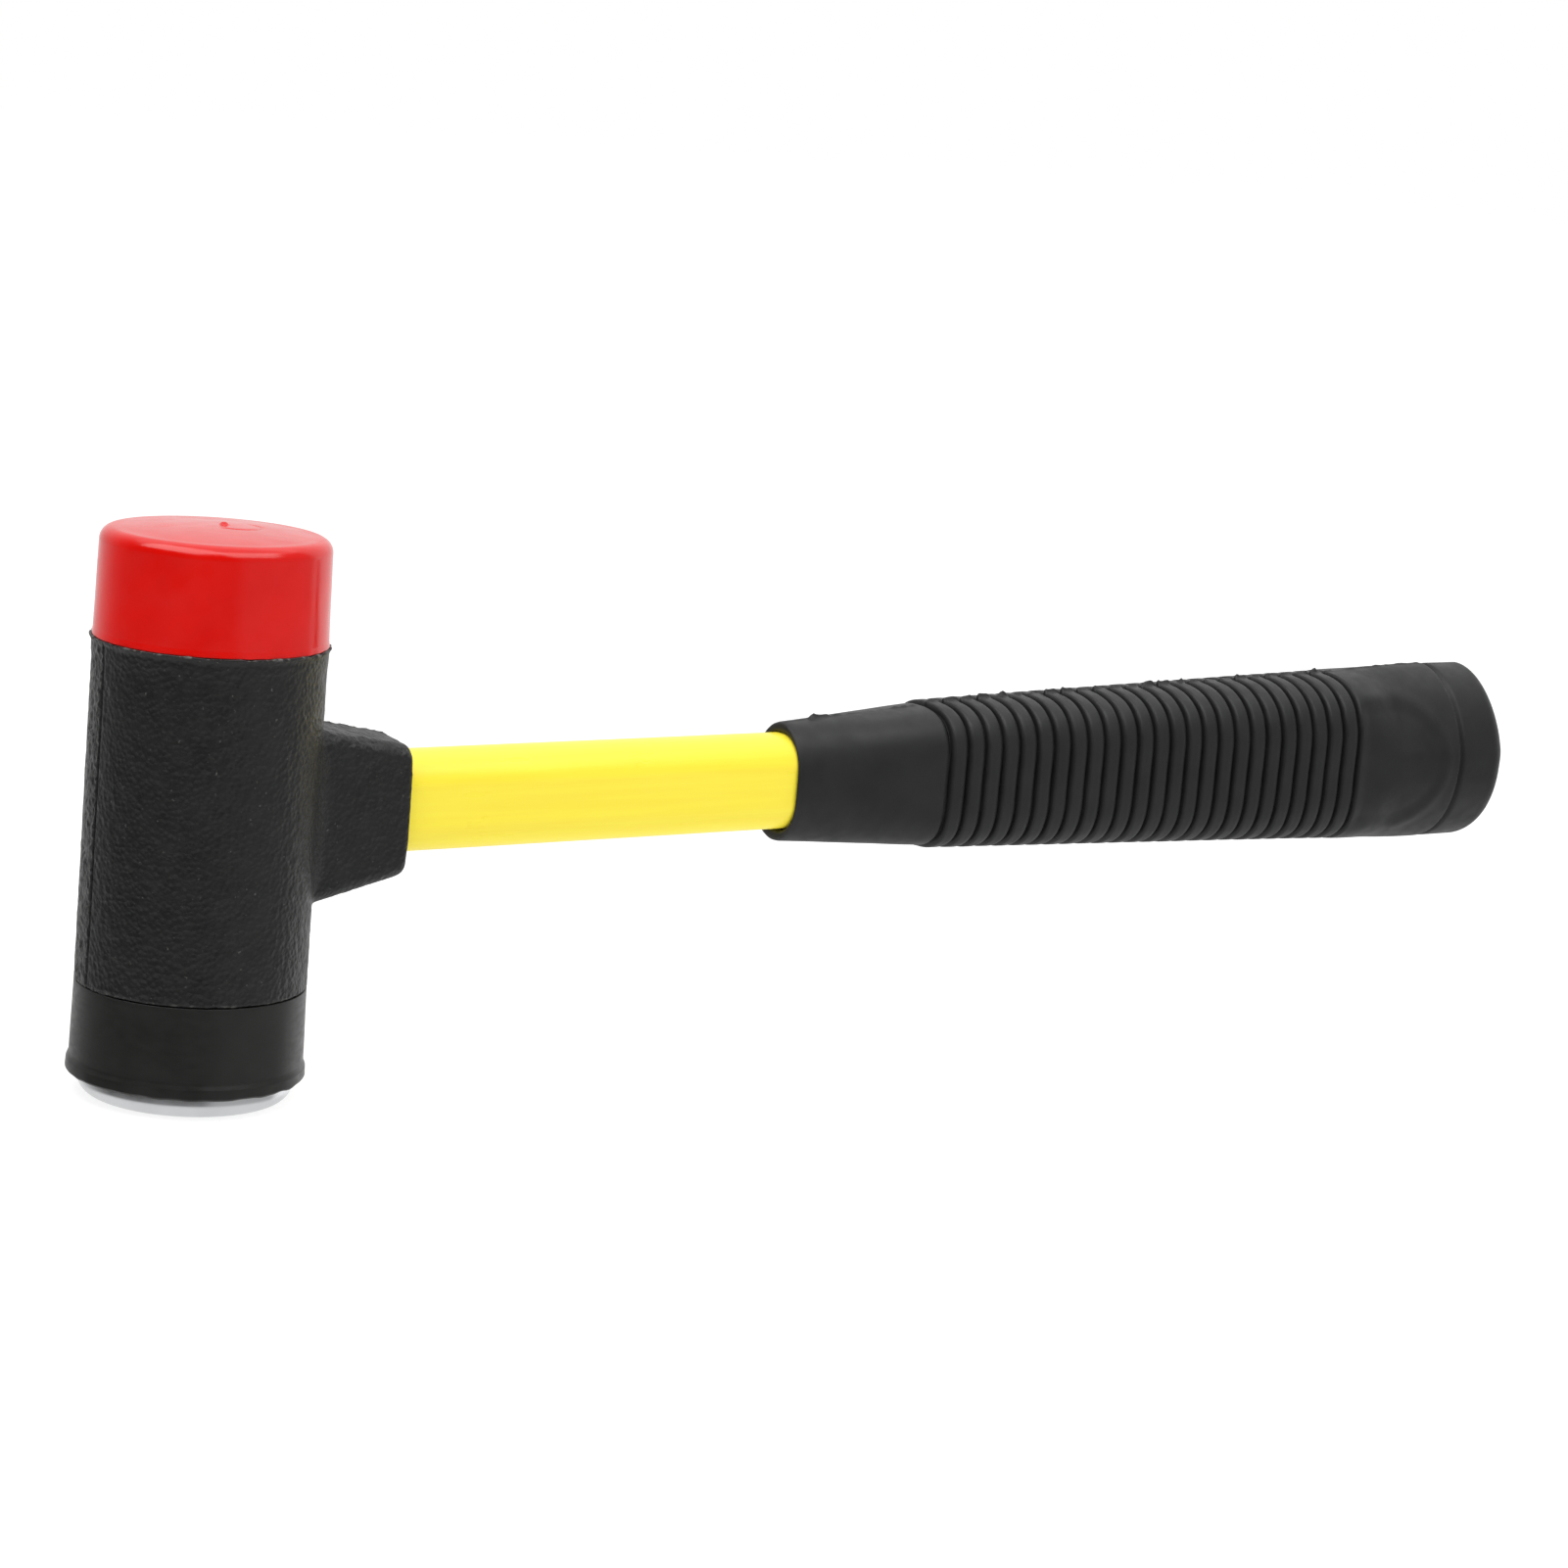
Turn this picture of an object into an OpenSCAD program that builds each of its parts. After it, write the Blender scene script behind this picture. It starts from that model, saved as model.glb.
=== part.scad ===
// Two-faced soft mallet: a steel bar head with a polished striking face at one end,
// a push-on soft cap at the other, a moulded rubber jacket and an oval handle with a ribbed grip.
// Millimetres. Z is the head's axis, X runs along the handle, and the origin is the
// centre of the steel striking face.

/* [Part shown] */
// Which piece is drawn

/* [Steel head] */
// Diameter of the steel bar
core_d = 35.6; // [29.6:0.1:43]
// How far the striking face stands out past the bar
face_lip = 0.8; // [0.2:0.1:1.5]
// Length of steel face that stands out below the collar
face_proud = 3.9; // [3:0.1:8]
// Rounding round the edge of the steel face
face_edge_r = 2.6; // [0.5:0.1:2.9]
// Chamfer round the steel under the soft cap
nose_chamfer = 1.2; // [0.3:0.1:3]

/* [Head covers] */
// Height of collar that shows
collar_h = 16.2; // [11:0.1:24]
// Wall of the collar
collar_wall = 2.4; // [1.8:0.1:4]
// Extra diameter of the bead round the collar's foot
collar_bead = 0.9; // [0.2:0.1:2]
// Height of that bead
collar_bead_h = 2.2; // [1:0.1:5]
// Length of the jacket's cylinder
jacket_l = 59.9; // [52:0.1:80]
// Wall of the jacket
jacket_wall = 2.2; // [1.8:0.1:4]
// Extra diameter of the jacket's top lip
lip_bead = 0.6; // [0.1:0.1:2]
// Height of the top lip
lip_h = 2.4; // [1:0.1:6]
// Wall of the skirts that tuck under the jacket's two ends
tuck_wall = 1; // [0.7:0.1:1.2]
// How far those skirts reach in
tuck_l = 6; // [3:0.1:9]

/* [Soft cap] */
// Height of cap that shows
cap_h = 18.5; // [12:0.1:30]
// Wall of the cap at the jacket
cap_wall = 2.3; // [1.8:0.1:4]
// How much narrower the cap is below its rim, on each side
cap_draft = 0.5; // [0:0.1:1.2]
// Rounding of the cap's rim
cap_rim_r = 3.3; // [1:0.1:5]
// Rise of the crowned top above its rim
cap_crown = 1; // [0.2:0.1:2]
// Thickness of the soft striking end
cap_face_t = 8; // [5:0.1:11]
// Diameter of the moulding gate left on the cap
gate_d = 1.6; // [0.8:0.1:3]
// Height of that gate
gate_h = 0.4; // [0.2:0.1:0.8]

/* [Handle shaft] */
// Width of the oval shaft
shaft_w = 13; // [10.5:0.1:15.6]
// Height of the oval shaft
shaft_h = 18.4; // [15:0.1:22.1]
// Corner rounding of the shaft
shaft_r = 6; // [2:0.1:8]
// Distance from the head's axis to the butt of the grip
reach = 308; // [255:0.1:370]

/* [Socket on the jacket] */
// Distance from the head's axis to the socket's mouth
socket_reach = 37; // [30:0.1:45]
// Rubber beside the shaft at the socket's mouth
socket_side = 2.5; // [2:0.1:5]
// Rubber above and below the shaft behind the socket's rounded mouth
socket_top = 3.3; // [3:0.1:6]
// Width of the socket where it leaves the head
socket_root_w = 20.6; // [19:0.1:26]
// Height of the socket where it leaves the head
socket_root_h = 33.8; // [30:0.1:42]
// Rounding of the socket's corners
socket_r = 3.6; // [2:0.1:6]

/* [Grip] */
// Length of the smooth nose in front of the ribs
nose_l = 34.3; // [25:0.1:45]
// Rubber beside the shaft at the grip's mouth
mouth_side = 1.3; // [1.1:0.1:4]
// Rubber above and below the shaft at the grip's mouth
mouth_top = 2.1; // [1.1:0.1:4]
// Width of the nose at the first rib
nose_w = 20.2; // [18:0.1:25]
// Height of the nose at the first rib
nose_h = 27.4; // [24:0.1:32]
// Number of grooves that part the ribs
groove_n = 26; // [10:1:30]
// Distance from groove to groove
rib_pitch = 4.26; // [3.5:0.01:5.2]
// Width of a groove
groove_w = 0.7; // [0.4:0.1:1.4]
// Depth of a groove
groove_d = 0.7; // [0.3:0.1:1.2]
// Width over the first rib
rib_first_w = 21; // [19:0.1:26]
// Height over the first rib
rib_first_h = 28.3; // [26:0.1:34]
// Width over the last rib
rib_last_w = 27; // [22:0.1:32]
// Height over the last rib
rib_last_h = 34.7; // [30:0.1:42]
// Length of the smooth tail behind the ribs
tail_l = 44.7; // [36:0.1:55]
// Width of the tail at the butt
tail_w = 28.4; // [24:0.1:34]
// Height of the tail at the butt
tail_h = 37.2; // [31:0.1:44]
// Corner rounding of the tail's section
tail_r = 14; // [8:0.1:16]
// Rounding of the butt's edge
butt_r = 5; // [3:0.1:9]
// Length of the end band
band_l = 15; // [10:0.1:19]
// Rubber left behind the end of the shaft
butt_wall = 7; // [3:0.1:15]

/* [Fits] */
// Gap round the steel inside the cap, and round the cap's skirt
cap_gap = 0.3; // [0.2:0.05:0.5]
// Thickness of the epoxy round the shaft in the eye
bond_t = 0.8; // [0.4:0.1:1.2]
// Gap between a moulded rubber piece and what it is moulded on
mould_gap = 0.05; // [0.02:0.01:0.1]

/* [Hidden] */
eps = 1;
plate = 0.2;
smooth = 96;
hull_smooth = 32;

core_r = core_d / 2;
face_r = core_r + face_lip;
jacket_d = core_d + 2 * jacket_wall;
collar_d = core_d + 2 * collar_wall;
cap_d = core_d + 2 * cap_wall;
cap_rim_d = cap_d - 2 * cap_draft;
tuck_d = core_d + 2 * (cap_gap + tuck_wall);
jacket_z = face_proud + collar_h;
jacket_top = jacket_z + jacket_l;
cap_top = jacket_top + cap_h;
core_top = cap_top - cap_face_t;
handle_z = jacket_z + jacket_l / 2;
// the cap's flat inside its rim, and the radius of the crown that spans it
crown_w = cap_rim_d / 2 - cap_rim_r;
crown_r = (crown_w * crown_w + cap_crown * cap_crown) / (2 * cap_crown);

eye_w = shaft_w + 2 * bond_t;
eye_h = shaft_h + 2 * bond_t;
eye_r = shaft_r + bond_t;
// the flat stretch of the bar's wall that the eye passes, clear of the round
eye_half_l = floor(sqrt(core_r * core_r - eye_w * eye_w / 4)) - 1;
shaft_back = -(sqrt(core_r * core_r - shaft_w * shaft_w / 4) - 0.6);
shaft_front = reach - butt_wall;

socket_w = shaft_w + 2 * socket_side;
socket_h = shaft_h + 2 * socket_top;
mouth_w = shaft_w + 2 * mouth_side;
mouth_h = shaft_h + 2 * mouth_top;
ribs_l = (groove_n - 1) * rib_pitch;
grip_l = nose_l + ribs_l + tail_l;
mouth_x = reach - grip_l;
groove_x = mouth_x + nose_l;
tail_x = groove_x + ribs_l;
band_x = reach - band_l;
swell_x = tail_x + (band_x - tail_x) / 2;

// width, height and corner radius of the ribbed stretch, t from 0 at the first groove to 1
function rib_w(t) = rib_first_w + (rib_last_w - rib_first_w) * t;
function rib_h(t) = rib_first_h + (rib_last_h - rib_first_h) * t;
function rib_r(t) = 0.43 * rib_w(t) - 0.2;

// rounded rectangle, its corners limited by half its width
module rounded_rect(w, h, r, fn = smooth) {
    c = min(r, w / 2 - 0.4);
    square([w - 2 * c, h], center = true);
    square([w, h - 2 * c], center = true);
    for (sx = [-1, 1], sy = [-1, 1])
        translate([sx * (w / 2 - c), sy * (h / 2 - c)])
            circle(r = c, $fn = fn);
}

// a bar of rounded section along the handle, from x0 to x1
module oval_bar(x0, x1, w, h, r, fn = smooth) {
    translate([x0, 0, handle_z])
        rotate([90, 0, 90])
            linear_extrude(height = x1 - x0)
                rounded_rect(w, h, r, fn);
}

// a thin slice of the same section, the stations of a smooth shell
module station(x, w, h, r) {
    oval_bar(x, x + plate, w, h, r, hull_smooth);
}

// a cut round the outside of the grip that leaves a core of the given section
module ring_cut(x, len, w, h, r) {
    difference() {
        translate([x, -w, handle_z - h])
            cube([len, 2 * w, 2 * h]);
        oval_bar(x - eps, x + len + eps, w - 2 * groove_d, h - 2 * groove_d, r - groove_d);
    }
}

// forged and plated bar, with the eye for the shaft
module steel_head() {
    color("silver")
        difference() {
            rotate_extrude($fn = smooth) {
                polygon([
                    [0, 0],
                    [face_r - face_edge_r, 0],
                    [face_r, face_edge_r],
                    [face_r, face_proud - mould_gap],
                    [core_r, face_proud - mould_gap],
                    [core_r, core_top - nose_chamfer],
                    [core_r - nose_chamfer, core_top],
                    [0, core_top]
                ]);
                translate([face_r - face_edge_r, face_edge_r])
                    intersection() {
                        circle(r = face_edge_r, $fn = smooth);
                        translate([-face_edge_r, -face_edge_r])
                            square([2 * face_edge_r, face_edge_r]);
                    }
            }
            oval_bar(-core_r - eps, core_r + eps, eye_w, eye_h, eye_r);
        }
}

// soft cap: a thick striking end, and a skirt that tucks under the jacket's lip
module red_cap() {
    skirt_z = jacket_top - tuck_l + cap_gap;
    color("red") {
        difference() {
            rotate_extrude($fn = smooth) {
                polygon([
                    [0, skirt_z],
                    [tuck_d / 2, skirt_z],
                    [tuck_d / 2, jacket_top],
                    [cap_d / 2, jacket_top],
                    [cap_rim_d / 2, cap_top - cap_rim_r],
                    [crown_w, cap_top],
                    [0, cap_top]
                ]);
                translate([crown_w, cap_top - cap_rim_r])
                    circle(r = cap_rim_r, $fn = smooth);
                intersection() {
                    translate([0, cap_top + cap_crown - crown_r])
                        circle(r = crown_r, $fn = smooth);
                    translate([0, cap_top - eps])
                        square([crown_w, cap_crown + 2 * eps]);
                }
            }
            translate([0, 0, skirt_z - eps])
                cylinder(r = core_r + cap_gap, h = core_top + cap_gap - skirt_z + eps, $fn = smooth);
        }
        translate([0, 0, cap_top])
            cylinder(d = gate_d, h = cap_crown + gate_h, $fn = smooth);
    }
}

// rubber moulded over the bar and the root of the shaft
module head_jacket() {
    tuck_bore = tuck_d / 2 + cap_gap;
    color("dimgray") {
        difference() {
            union() {
                translate([0, 0, jacket_z])
                    cylinder(d = jacket_d, h = jacket_l, $fn = smooth);
                translate([0, 0, jacket_top - lip_h])
                    cylinder(d = jacket_d + lip_bead, h = lip_h, $fn = smooth);
                hull() {
                    station(core_r / 2, socket_root_w, socket_root_h + 2, socket_r);
                    station(core_r, socket_root_w, socket_root_h - 2, socket_r);
                    station(socket_reach - 2.2, socket_w, socket_h, socket_r);
                    station(socket_reach - 0.8, socket_w - 0.5, socket_h - 2, socket_r);
                    station(socket_reach - plate, socket_w - 1.3, socket_h - 4.4, socket_r);
                }
            }
            translate([0, 0, jacket_z - eps])
                cylinder(r = core_r + mould_gap, h = jacket_l + 2 * eps, $fn = smooth);
            translate([0, 0, jacket_top - tuck_l])
                cylinder(r = tuck_bore, h = tuck_l + eps, $fn = smooth);
            translate([0, 0, jacket_z - eps])
                cylinder(r = tuck_bore, h = tuck_l + eps, $fn = smooth);
            oval_bar(
                0,
                socket_reach + eps,
                shaft_w + 2 * mould_gap,
                shaft_h + 2 * mould_gap,
                shaft_r + mould_gap
            );
        }
        // rubber that fills the blind end of the eye behind the shaft
        intersection() {
            translate([0, 0, jacket_z])
                cylinder(d = jacket_d, h = jacket_l, $fn = smooth);
            oval_bar(
                -jacket_d / 2,
                shaft_back - mould_gap,
                eye_w - 2 * mould_gap,
                eye_h - 2 * mould_gap,
                eye_r - mould_gap
            );
        }
    }
}

// smooth ring round the striking end, tucked under the jacket like the cap
module face_collar() {
    color("black")
        rotate_extrude($fn = smooth)
            polygon([
                [core_r + mould_gap, face_proud],
                [(collar_d + collar_bead) / 2 - 0.3, face_proud],
                [(collar_d + collar_bead) / 2, face_proud + 0.3],
                [(collar_d + collar_bead) / 2, face_proud + collar_bead_h - 0.4],
                [collar_d / 2, face_proud + collar_bead_h],
                [collar_d / 2, jacket_z],
                [tuck_d / 2, jacket_z],
                [tuck_d / 2, jacket_z + tuck_l - cap_gap],
                [core_r + mould_gap, jacket_z + tuck_l - cap_gap]
            ]);
}

// solid glass-fibre bar from the eye to the butt of the grip
module handle_shaft() {
    color("gold")
        oval_bar(shaft_back, shaft_front, shaft_w, shaft_h, shaft_r);
}

// adhesive that locks the shaft in the eye
module eye_epoxy() {
    color("tan")
        difference() {
            oval_bar(-eye_half_l, eye_half_l, eye_w, eye_h, eye_r);
            oval_bar(-eye_half_l - eps, eye_half_l + eps, shaft_w, shaft_h, shaft_r);
        }
}

// rubber grip: smooth nose, ribs, flared tail and end band
module grip() {
    color("darkslategray")
        difference() {
            union() {
                hull() {
                    station(mouth_x, mouth_w - 1.4, mouth_h - 1.4, rib_r(0) - 1.5);
                    station(mouth_x + 1, mouth_w, mouth_h, rib_r(0) - 1);
                    station(groove_x - plate, nose_w, nose_h, rib_r(0));
                }
                for (i = [0 : groove_n - 1])
                    oval_bar(
                        groove_x + i * rib_pitch - groove_w,
                        groove_x + i * rib_pitch + groove_w,
                        rib_w(i / (groove_n - 1)) - 2 * groove_d,
                        rib_h(i / (groove_n - 1)) - 2 * groove_d,
                        rib_r(i / (groove_n - 1)) - groove_d
                    );
                for (i = [0 : groove_n - 2])
                    oval_bar(
                        groove_x + i * rib_pitch + groove_w / 2,
                        groove_x + (i + 1) * rib_pitch - groove_w / 2,
                        rib_w((i + 0.5) / (groove_n - 1)),
                        rib_h((i + 0.5) / (groove_n - 1)),
                        rib_r((i + 0.5) / (groove_n - 1))
                    );
                hull() {
                    station(tail_x + groove_w / 2, rib_last_w, rib_last_h, rib_r(1));
                    station(swell_x, tail_w - 0.4, tail_h - 0.6, tail_r);
                }
                hull() {
                    station(swell_x, tail_w - 0.4, tail_h - 0.6, tail_r);
                    station(reach - butt_r, tail_w, tail_h, tail_r);
                    // the butt's edge, turned through a quarter circle in steps
                    for (a = [22.5 : 22.5 : 90])
                        station(
                            reach - plate - (butt_r - plate) * (1 - sin(a)),
                            tail_w - 2 * butt_r * (1 - cos(a)),
                            tail_h - 2 * butt_r * (1 - cos(a)),
                            tail_r - butt_r * (1 - cos(a))
                        );
                }
            }
            // the shaft's pocket
            oval_bar(
                mouth_x - eps,
                shaft_front + mould_gap,
                shaft_w + 2 * mould_gap,
                shaft_h + 2 * mould_gap,
                shaft_r + mould_gap
            );
            // line in front of the end band
            ring_cut(band_x - groove_w / 2, groove_w, tail_w, tail_h, tail_r);
        }
}

steel_head();
red_cap();
head_jacket();
face_collar();
handle_shaft();
eye_epoxy();
grip();
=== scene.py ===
import math

import bmesh
import bpy
import numpy as np
from mathutils import Matrix, Vector


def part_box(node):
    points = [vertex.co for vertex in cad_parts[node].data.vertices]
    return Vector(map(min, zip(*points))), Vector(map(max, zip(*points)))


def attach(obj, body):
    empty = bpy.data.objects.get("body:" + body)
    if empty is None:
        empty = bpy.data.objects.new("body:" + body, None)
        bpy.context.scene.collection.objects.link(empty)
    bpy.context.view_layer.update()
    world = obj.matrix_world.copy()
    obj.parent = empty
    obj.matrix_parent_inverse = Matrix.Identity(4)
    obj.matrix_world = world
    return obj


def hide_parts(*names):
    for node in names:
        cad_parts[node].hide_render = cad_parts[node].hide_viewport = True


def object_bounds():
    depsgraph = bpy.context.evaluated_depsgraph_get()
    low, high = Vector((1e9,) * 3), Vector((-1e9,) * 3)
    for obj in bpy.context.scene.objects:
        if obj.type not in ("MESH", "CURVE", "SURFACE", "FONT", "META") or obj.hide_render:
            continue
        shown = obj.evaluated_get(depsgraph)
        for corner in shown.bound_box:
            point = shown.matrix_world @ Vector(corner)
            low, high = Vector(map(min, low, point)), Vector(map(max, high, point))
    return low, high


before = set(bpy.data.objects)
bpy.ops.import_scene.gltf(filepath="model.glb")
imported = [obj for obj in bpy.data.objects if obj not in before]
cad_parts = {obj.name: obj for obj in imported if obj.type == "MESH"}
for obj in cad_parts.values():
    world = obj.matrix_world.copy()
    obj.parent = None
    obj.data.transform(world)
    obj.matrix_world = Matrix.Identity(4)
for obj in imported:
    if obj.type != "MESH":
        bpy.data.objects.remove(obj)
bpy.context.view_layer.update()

MM = 0.001


def box_mm(node):
    lo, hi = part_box(node)
    return np.array(lo) / MM, np.array(hi) / MM


# where the part's own pieces lie, in mm
CAP_LO = box_mm("red_cap")[0]
JACKET_LO, JACKET_HI = box_mm("head_jacket")
COLLAR_LO, COLLAR_HI = box_mm("face_collar")
STEEL_HI = box_mm("steel_head")[1]
SHAFT_LO, SHAFT_HI = box_mm("handle_shaft")
GRIP_LO, GRIP_HI = box_mm("grip")

CORE_R = 17.8  # the steel bar inside the head
HANDLE_Z = (SHAFT_LO[2] + SHAFT_HI[2]) / 2
# the shaft's half width, half height and corner radius
SHAFT_A, SHAFT_B, SHAFT_R = SHAFT_HI[1], (SHAFT_HI[2] - SHAFT_LO[2]) / 2, 6.0
JACKET_Z, JACKET_TOP = JACKET_LO[2], JACKET_HI[2]
MOUTH_X, BUTT_X = GRIP_LO[0], GRIP_HI[0]
GAP, JACKET_GAP = 0.06, 0.05  # between a skin and what it holds
FULL_TURN = 2 * math.pi


# ---------------------------------------------------------------- mesh helpers
# what noise3 scatters a cell and its seed with
HASH_X, HASH_Y, HASH_Z, HASH_SEED = 73856093, 19349663, 83492791, 15485863
HASH_MIX, HASH_STEP, LOW_BITS = 1274126177, 69069, 0x7FFFFFFF


def noise3(points, cell, seed=0):
    """Smooth lattice noise from -1 to 1 with one value for each cell, in mm."""
    q = np.asarray(points, float) / cell
    i = np.floor(q).astype(np.int64)
    f = q - i
    f = f * f * (3 - 2 * f)
    total = np.zeros(len(q))
    for c in range(8):
        o = np.array([c & 1, c >> 1 & 1, c >> 2 & 1])
        k = i + o
        h = (k[:, 0] * HASH_X) ^ (k[:, 1] * HASH_Y) ^ (k[:, 2] * HASH_Z) ^ (seed * HASH_SEED)
        h = (h & LOW_BITS) * HASH_MIX & LOW_BITS
        h = (h ^ (h >> 15)) * HASH_STEP & LOW_BITS
        value = ((h >> 8) & 0xFFFF) / 32767.5 - 1
        total += value * np.prod(np.where(o, f, 1 - f), axis=1)
    return total


def smoothstep(e0, e1, x):
    """Smooth rise from 0 at e0 to 1 at e1, which may lie either way round."""
    t = np.clip((np.asarray(x, float) - e0) / (e1 - e0), 0, 1)
    return t * t * (3 - 2 * t)


def make_object(name, verts_mm, faces, sharp=None):
    """Smooth-shaded object from vertices in mm. Edges past sharp, in degrees, stay sharp."""
    mesh = bpy.data.meshes.new(name)
    mesh.from_pydata((np.asarray(verts_mm) * MM).tolist(), [], faces)
    mesh.validate()
    bm = bmesh.new()
    bm.from_mesh(mesh)
    bmesh.ops.recalc_face_normals(bm, faces=bm.faces)
    bm.to_mesh(mesh)
    bm.free()
    mesh.polygons.foreach_set("use_smooth", [True] * len(mesh.polygons))
    if sharp is not None:
        mesh.set_sharp_from_angle(angle=math.radians(sharp))
    mesh.update()
    ob = bpy.data.objects.new(name, mesh)
    bpy.context.scene.collection.objects.link(ob)
    return ob


def rounded_path(points, steps=6, step_len=None):
    """Corner points (a, b, radius) become a path with arcs. step_len splits its long straights."""
    out = []
    last = len(points) - 1
    for i, (a, b, r) in enumerate(points):
        p = np.array([a, b], float)
        if r <= 0 or i in (0, last):
            out.append(p)
            continue
        u = np.array(points[i - 1][:2], float) - p
        v = np.array(points[i + 1][:2], float) - p
        u, v = u / np.linalg.norm(u), v / np.linalg.norm(v)
        half = math.acos(max(-1, min(1, float(u @ v)))) / 2
        cut = r / math.tan(half)
        mid = (u + v) / np.linalg.norm(u + v)
        centre = p + mid * r / math.sin(half)
        a0, a1 = p + u * cut - centre, p + v * cut - centre
        t0, t1 = math.atan2(a0[1], a0[0]), math.atan2(a1[1], a1[0])
        turn = (t1 - t0 + math.pi) % FULL_TURN - math.pi
        for k in range(steps + 1):
            t = t0 + turn * k / steps
            out.append(centre + r * np.array([math.cos(t), math.sin(t)]))
    if step_len:
        fine = [out[0]]
        for p in out[1:]:
            n = max(1, int(np.linalg.norm(p - fine[-1]) / step_len))
            start = fine[-1]
            fine += [start + (p - start) * k / n for k in range(1, n + 1)]
        out = fine
    return np.array(out)


def stitch(a, b):
    """Faces between two rows of vertex numbers. A row of one number closes an end."""
    faces = []
    n = max(len(a), len(b))
    for i in range(n):
        j = (i + 1) % n
        if len(a) == 1:
            faces.append((a[0], b[i], b[j]))
        elif len(b) == 1:
            faces.append((a[i], a[j], b[0]))
        else:
            faces.append((a[i], a[j], b[j], b[i]))
    return faces


def lathe(name, path, n, sharp, closed=False, change=None):
    """Solid turned about Z from a path of (r, z). change(points) may move the made points."""
    ring = np.linspace(0, FULL_TURN, n, endpoint=False)
    verts, rows = [], []
    for r, z in path:
        if r < 1e-6:
            rows.append([len(verts)])
            verts.append((0, 0, z))
        else:
            rows.append(list(range(len(verts), len(verts) + n)))
            verts += [(r * math.cos(t), r * math.sin(t), z) for t in ring]
    faces = []
    pairs = list(zip(rows, rows[1:])) + ([(rows[-1], rows[0])] if closed else [])
    for a, b in pairs:
        faces += stitch(a, b)
    verts = np.array(verts)
    if change is not None:
        verts = change(verts)
    return make_object(name, verts, faces, sharp)


def loft(name, rings, sharp=None):
    """Closed tube through rings of equal length. A ring of one point closes an end."""
    verts, rows = [], []
    for ring in rings:
        rows.append(list(range(len(verts), len(verts) + len(ring))))
        verts += [tuple(p) for p in ring]
    faces = []
    for a, b in zip(rows, rows[1:]):
        faces += stitch(a, b)
    return make_object(name, verts, faces, sharp)


def superellipse(theta, a, b, p, q):
    """Ray length from the centre to |y/a|^p + |z/b|^q = 1 in direction theta."""
    cy, cz = np.abs(np.cos(theta)), np.abs(np.sin(theta))
    lo, hi = np.zeros_like(cy), np.full_like(cy, 2.0 * max(a, b))
    for _ in range(40):
        mid = (lo + hi) / 2
        outside = (mid * cy / a) ** p + (mid * cz / b) ** q > 1
        hi = np.where(outside, mid, hi)
        lo = np.where(outside, lo, mid)
    return (lo + hi) / 2


def round_rect(theta, a, b, r):
    """Ray length from the centre to a rounded rectangle of half sizes a and b."""
    c, s = np.abs(np.cos(theta)) + 1e-9, np.abs(np.sin(theta)) + 1e-9
    t = np.minimum(a / c, b / s)
    ca, cb = a - r, b - r
    dot = c * ca + s * cb
    corner = dot + np.sqrt(np.maximum(dot * dot - ca * ca - cb * cb + r * r, 0))
    in_corner = (t * c > ca) & (t * s > cb)
    return np.where(in_corner, corner, t)


def place(ob, body, node):
    """Says which body the object rides on, which CAD piece it replaces."""
    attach(ob, body)
    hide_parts(node)
    return ob


# ---------------------------------------------------------------- soft cap
HEAD_SIDES = 288
CAP_R, CAP_RIM_R = 20.1, 19.75  # just over the jacket's lip, and at the rim
CAP_TOP, RIM_ROUND = 98.5, 2.4
CROWN, CROWN_R, CROWN_EDGE = 0.85, 17.3, 16.3  # rise of the middle, and the dome it is cut from
SKIRT_R, BORE_R, BORE_TOP = 19.1, 18.1, 90.8
GATE_X, GATE_Y, GATE_R, GATE_RISE = 2.4, 2.3, 0.7, 0.5
RING_X, RING_Y, RING_R, RING_HALF, RING_DEPTH = 4.0, 1.1, 4.3, 0.45, 0.16


def build_cap():
    radii = np.linspace(CROWN_EDGE, 0, 42)
    crown = [(r, CAP_TOP + CROWN * (1 - (r / CROWN_R) ** 2)) for r in radii]
    seat = JACKET_TOP + 0.04
    path = rounded_path([
        (0, BORE_TOP, 0), (BORE_R, BORE_TOP, 0.8), (BORE_R, CAP_LO[2], 0.15),
        (SKIRT_R, CAP_LO[2], 0.3), (SKIRT_R, seat, 0.1),
        (CAP_R + 0.1, seat, 0.15), (CAP_R - 0.05, JACKET_TOP + 1.2, 0.5),
        (CAP_RIM_R, CAP_TOP - 2.6, 2), (CAP_RIM_R, CAP_TOP + 0.04, RIM_ROUND),
        (crown[0][0], crown[0][1], 0),
    ], steps=14, step_len=0.7)
    path = np.vstack([path, crown[1:]])

    def change(v):
        r = np.hypot(v[:, 0], v[:, 1])
        top = smoothstep(CAP_TOP - 0.5, CAP_TOP + 0.1, v[:, 2])
        # the gate left by the mould, just off the middle, and the sunk ring round it
        gate = np.hypot(v[:, 0] - GATE_X, v[:, 1] - GATE_Y)
        v[:, 2] += top * GATE_RISE * np.exp(-((gate / GATE_R) ** 4))
        ring_x, ring_y = v[:, 0] - RING_X, v[:, 1] - RING_Y
        ring = np.hypot(ring_x, ring_y)
        near_side = smoothstep(-2, 3, 0.8 * ring_x - 1.4 * ring_y)
        v[:, 2] -= top * RING_DEPTH * near_side * np.exp(-(((ring - RING_R) / RING_HALF) ** 2))
        # the soft wall is not quite true
        wave = 0.05 * noise3(v, 14, 3) * smoothstep(10, 19, r)
        scale = 1 + wave / np.maximum(r, 1)
        v[:, 0] *= scale
        v[:, 1] *= scale
        return v

    ob = lathe("red_cap_skin", path, HEAD_SIDES, 50, change=change)
    return place(ob, "soft_cap", "red_cap")


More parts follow.
